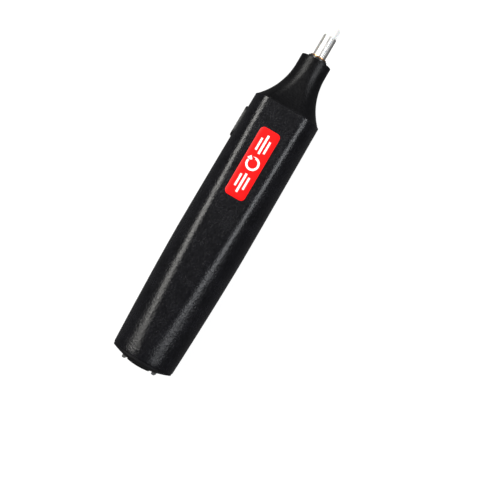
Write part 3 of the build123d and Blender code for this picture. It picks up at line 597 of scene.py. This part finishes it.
# ---- Cradle, clamp screws, switch and wires ----------------------------------------------------
# A pale moulded cradle slides into the barrel and carries the motor, the clamp with its two screws,
# the switch board, the contacts and three short insulated leads.
cradle_grey = moulded("cradle_grey", (0.42, 0.42, 0.4), 0.5, 0.35, 0.006, 0.08)
screw_zinc = metal("screw_zinc", (0.62, 0.6, 0.52), (0.78, 0.77, 0.72), 0.28, 0.2)
nickel = metal("nickel_plate", (0.62, 0.58, 0.5), (0.8, 0.77, 0.7), 0.22, 0.4)
board_green = moulded("board_green", (0.02, 0.16, 0.06), 0.3, 0.4, 0.002, 0.2)
lead_red = moulded("lead_red", (0.55, 0.01, 0.01), 0.35, 0.4, 0.002, 0.15)
lead_black = moulded("lead_black", (0.015, 0.015, 0.015), 0.35, 0.4, 0.002, 0.2)
cad_finish(cradle_grey, "motor_cradle")
cad_finish(screw_zinc, "clamp_screws")
cad_finish(nickel, "supply_contacts", "switch_contacts", "contact_bridge", "collet_ring")
cad_finish(nickel, "cell_bridge", "drawer_contacts")
cad_finish(board_green, "switch_board")
cad_finish(lead_red, "red_wire")
cad_finish(lead_black, "black_wire", "switch_wire")

# ---- Drive coupling and collet -----------------------------------------------------------------
# A moulded coupling grips the motor shaft. The collet is a thin bright tube, slit four ways at its
# tip so that its jaws spring onto the eraser stick.
COLLET_RADIUS = 2.75
COLLET_BORE = 2.53
COLLET_TIP_X = NOZZLE_X + 10.8
COLLET_LENGTH = 28.32
COLLET_TAIL_X = COLLET_TIP_X - COLLET_LENGTH
SLIT_LENGTH = 13.5
SLIT_WIDTH = 0.45
SLIT_TURN = 30
coupling_ivory = moulded("coupling_ivory", (0.62, 0.58, 0.5), 0.42, 0.3, 0.004, 0.08)
cad_finish(coupling_ivory, "drive_coupling")
collet = turned(
    "collet", tube_profile(COLLET_TAIL_X, COLLET_TIP_X, COLLET_RADIUS, COLLET_BORE, 0.07), 144
)
for quarter in (0, 90):
    slit = box_between(
        (COLLET_TIP_X - SLIT_LENGTH, -4, -SLIT_WIDTH / 2), (COLLET_TIP_X + 1, 4, SLIT_WIDTH / 2)
    )
    lift = Matrix.Translation((0, 0, AXIS_Z * MM))
    turn = Matrix.Rotation(radians(SLIT_TURN + quarter), 4, "X")
    slit.data.transform(lift @ turn @ lift.inverted())
    cut(collet, slit)
collet_bright = metal(
    "collet_bright", (0.7, 0.69, 0.67), (0.84, 0.83, 0.81), 0.42, 0.25, (0.1, 1, 1), 0.001
)
collet_bright.onto(collet)
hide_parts("collet")
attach(collet, "spindle")

# ---- Eraser stick ------------------------------------------------------------------------------
# An extruded stick of soft white vinyl. Its working end is slightly rounded by use.
ERASER_RADIUS = 2.5
ERASER_LENGTH = 26.5
ERASER_TIP_X = COLLET_TIP_X + 4.2
ERASER_TAIL_X = ERASER_TIP_X - ERASER_LENGTH
TIP_ROUND = 0.7
profile = [(ERASER_TAIL_X, 0.001), (ERASER_TAIL_X, ERASER_RADIUS - 0.2)]
profile += [(ERASER_TAIL_X + 0.2, ERASER_RADIUS)]
side_xs = steps_between(ERASER_TAIL_X + 1, ERASER_TIP_X - TIP_ROUND, 1)
profile += [(x, ERASER_RADIUS) for x in side_xs]
profile += [
    (ERASER_TIP_X - TIP_ROUND * (1 - sin(a)), ERASER_RADIUS - TIP_ROUND * (1 - cos(a)))
    for a in (pi / 2 * i / 6 for i in range(1, 7))
]
profile += [(ERASER_TIP_X + 0.02, 1.0), (ERASER_TIP_X + 0.03, 0.001)]
eraser = turned("eraser", profile, 64)
smooth(eraser, 60)
vinyl = Finish("white_vinyl", Specular_IOR_Level=0.4, Subsurface_Weight=0.12, Subsurface_Scale=0.002)
dust = vinyl.speckle(0.5, 4.0, 0.6)
patches = vinyl.ramp(dust, (0.35, 0), (0.7, 1))
vinyl.feed(
    Base_Color=vinyl.mix(patches, (0.7, 0.7, 0.69), (0.77, 0.77, 0.76)),
    Roughness=vinyl.ramp(dust, (0.3, 0.55), (0.7, 0.7)),
)
vinyl.bump(vinyl.speckle(0.25, 3.0), 0.02)
vinyl.onto(eraser)
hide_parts("eraser_stick")
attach(eraser, "eraser")

# ---- Push button -------------------------------------------------------------------------------
# A moulded black cap with a curved, ribbed face. Its flange holds it in behind the barrel's window,
# and two short pegs behind it carry the contact bridge.
BUTTON_PROUD = 0.7
BUTTON_ROUND = 0.4
RIB_PITCH = 1.9
RIB_DEPTH = 0.28


def button_ring(inset, drop):
    """The button's outline on its curved face, drawn in by inset and lowered by drop."""
    ring = []
    for u, v in pill_ring(BUTTON_LENGTH - 2 * inset, max(0.02, BUTTON_HEIGHT - 2 * inset)):
        face = sqrt((barrel_radius(BUTTON_X + u) + BUTTON_PROUD) ** 2 - v**2)
        wave = cos(pi * u / RIB_PITCH) ** 2 if abs(u) < 2.5 * RIB_PITCH else 0
        groove = RIB_DEPTH * wave**3 if inset > 0.35 else 0
        ring.append((BUTTON_X + u, face - drop - groove, v))
    return ring


def level_ring(length, width, y):
    return [(BUTTON_X + u, y, v) for u, v in pill_ring(length, width)]


FLANGE = 0.9
FLANGE_Y, FLANGE_TOP_Y = 10.5, 11.4
CAP_WALL = 1.2
wide, tall = BUTTON_LENGTH + 2 * FLANGE, BUTTON_HEIGHT + 2 * FLANGE
hollow_length, hollow_height = BUTTON_LENGTH - 2 * CAP_WALL, BUTTON_HEIGHT - 2 * CAP_WALL
rings = [level_ring(hollow_length, hollow_height, y) for y in (12.0, FLANGE_Y)]
rings += [level_ring(wide, tall, y) for y in (FLANGE_Y, FLANGE_TOP_Y)]
rings += [level_ring(BUTTON_LENGTH, BUTTON_HEIGHT, FLANGE_TOP_Y)]
rings += [
    button_ring(BUTTON_ROUND * (1 - cos(a)), BUTTON_ROUND * (1 - sin(a)))
    for a in (pi / 2 * i / 4 for i in range(5))
]
crown = BUTTON_HEIGHT / 2 - BUTTON_ROUND
rings += [button_ring(BUTTON_ROUND + crown * share, 0) for share in (0.15, 0.4, 0.7, 0.999)]
button = capped("button", rings)
button_black = moulded("button_black", (0.013, 0.013, 0.014), 0.45, 0.25, 0.008)
button_black.onto(button)
PEG_LENGTH = 5.0
PEG_RADIUS = 0.8
for side in (-1, 1):
    peg = turned("button_peg", tube_profile(0, PEG_LENGTH, PEG_RADIUS, 0.001, 0.05), 24)
    foot = Matrix.Translation(place(BUTTON_X + side * 4.5, 7.59, 0))
    stand = foot @ Matrix.Rotation(pi / 2, 4, "Z")
    peg.data.transform(stand @ Matrix.Translation(place(0, 0, 0)).inverted())
    peg.parent = button
    peg.name = f"button_peg_{'left' if side < 0 else 'right'}"
    button_black.onto(peg)
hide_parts("button_cap")
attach(button, "button")

# ---- Springs -----------------------------------------------------------------------------------
# Coiled from drawn spring steel and left bare. One stands behind the button, one between the two
# latches, and two press on the cells.
spring_steel = metal("spring_steel", (0.5, 0.5, 0.5), (0.72, 0.72, 0.7), 0.24, 0.3)
cad_finish(spring_steel, "button_spring", "latch_spring", "cell_springs")

# ---- Battery drawer ----------------------------------------------------------------------------
# A black end cap and tray that slide out with two AAA cells. The cells are nickel-plated steel cans
# in a printed film.
cap_black = moulded("cap_black", (0.006, 0.006, 0.007), 0.5, 0.8, 0.08, 0.4, 0.08)
cad_finish(cap_black, "end_cap", round_off=0.12)
latch_grey = moulded("latch_grey", (0.13, 0.13, 0.13), 0.35, 0.5, 0.02, 0.2)
cad_finish(latch_grey, "latch_left", "latch_right", round_off=0.12)
cad_finish(nickel, "cell_left", "cell_right")
tray_black = moulded("tray_black", (0.014, 0.014, 0.014), 0.5, 0.3, 0.008)
cad_finish(tray_black, "drawer_tray", round_off=0.1)
film = Finish("cell_film", Roughness=0.25, Coat_Weight=0.3)
BAND_PITCH = 21.0
run = film.along("X") - 3.0
bounce = run.math("PINGPONG", run, BAND_PITCH)
band = film.ramp(bounce * (1 / BAND_PITCH), (0.27, 0), (0.3, 1))
print_grain = film.ramp(film.speckle(0.6, 3.0), (0.3, 0), (0.7, 1))
blue = film.mix(print_grain, (0.012, 0.07, 0.3), (0.016, 0.09, 0.36))
film.feed(Base_Color=film.mix(band, (0.75, 0.75, 0.73), blue))
film.bump(film.speckle(0.5), 0.003)
cad_finish(film, "film_left", "film_right")

# ---- Table, lights and camera ------------------------------------------------------------------
# A faintly glowing white sheet, kept out of reflections so that the black flanks stay black. Two
# long soft boxes stand ahead of the tool, with a small card between them and a dim surround. The
# camera stands almost straight above, a little to the right of the tool.
VIEW_TILT = radians(4.5)
TOOL_TURN = radians(30.3)
VIEW_DISTANCE = 0.48
VIEW_WIDTH = 0.1969
AIM_X, AIM_Y = 57.4, -15.4
floor_mesh = bpy.data.meshes.new("floor")
work = bmesh.new()
bmesh.ops.create_grid(work, x_segments=1, y_segments=1, size=3.0)
work.to_mesh(floor_mesh)
work.free()
floor = bpy.data.objects.new("floor", floor_mesh)
bpy.context.scene.collection.objects.link(floor)
paper = Finish(
    "floor_white", Specular_IOR_Level=0.1, Emission_Color=(1.0, 1.0, 1.0), Emission_Strength=0.9
)
paper.feed(
    Base_Color=paper.mix(paper.speckle(2.0), (0.16, 0.16, 0.16), (0.18, 0.18, 0.18)),
    Roughness=paper.ramp(paper.speckle(5.0), (0.3, 0.85), (0.7, 0.95)),
)
paper.onto(floor)
floor.visible_glossy = False

world = bpy.data.worlds.new("surround")
bpy.context.scene.world = world
world.use_nodes = True
world.node_tree.nodes["Background"].inputs["Color"].default_value = (1, 1, 1, 1)
world.node_tree.nodes["Background"].inputs["Strength"].default_value = 0.1


def soft_box(name, angle, distance, ahead, size, watts, tint):
    """An area light at this angle from straight above the tool, positive to its right."""
    data = bpy.data.lights.new(name, "AREA")
    data.shape, data.size, data.size_y = "RECTANGLE", size[0], size[1]
    data.energy, data.color = watts, tint
    lamp = bpy.data.objects.new(name, data)
    bpy.context.scene.collection.objects.link(lamp)
    away = Vector((0, -sin(radians(angle)), cos(radians(angle))))
    side = Vector((1, 0, 0))
    rotation = Matrix((side, away.cross(side), away)).transposed().to_4x4()
    lamp.matrix_world = Matrix.Translation(place(ahead, 0, 0) + away * distance) @ rotation


soft_box("box_left", -43, 0.9, 330, (0.9, 0.3), 13.5, (1.0, 0.985, 0.94))
soft_box("box_right", 46, 1.0, 330, (0.9, 0.3), 9.5, (0.95, 0.97, 1.0))
soft_box("card_front", 0, 0.9, 540, (0.4, 0.4), 0.3, (1.0, 1.0, 1.0))

camera_data = bpy.data.cameras.new("camera")
camera_data.angle = 2 * atan(VIEW_WIDTH / 2 / VIEW_DISTANCE)
camera_data.clip_start = 0.01
camera = bpy.data.objects.new("camera", camera_data)
bpy.context.scene.collection.objects.link(camera)
right = Vector((sin(TOOL_TURN), -cos(TOOL_TURN), 0))
up = Vector((cos(TOOL_TURN), sin(TOOL_TURN), 0))
stance = Matrix((right, up, Vector((0, 0, 1)))).transposed().to_4x4()
stance.translation = Vector(((AIM_X + REAR_X) * MM, AIM_Y * MM, VIEW_DISTANCE))
about_tool = Matrix.Translation((0, 0, AXIS_Z * MM)) @ Matrix.Rotation(VIEW_TILT, 4, "X")
camera.matrix_world = about_tool @ stance
bpy.context.scene.camera = camera
bpy.context.scene.view_settings.view_transform = "Standard"
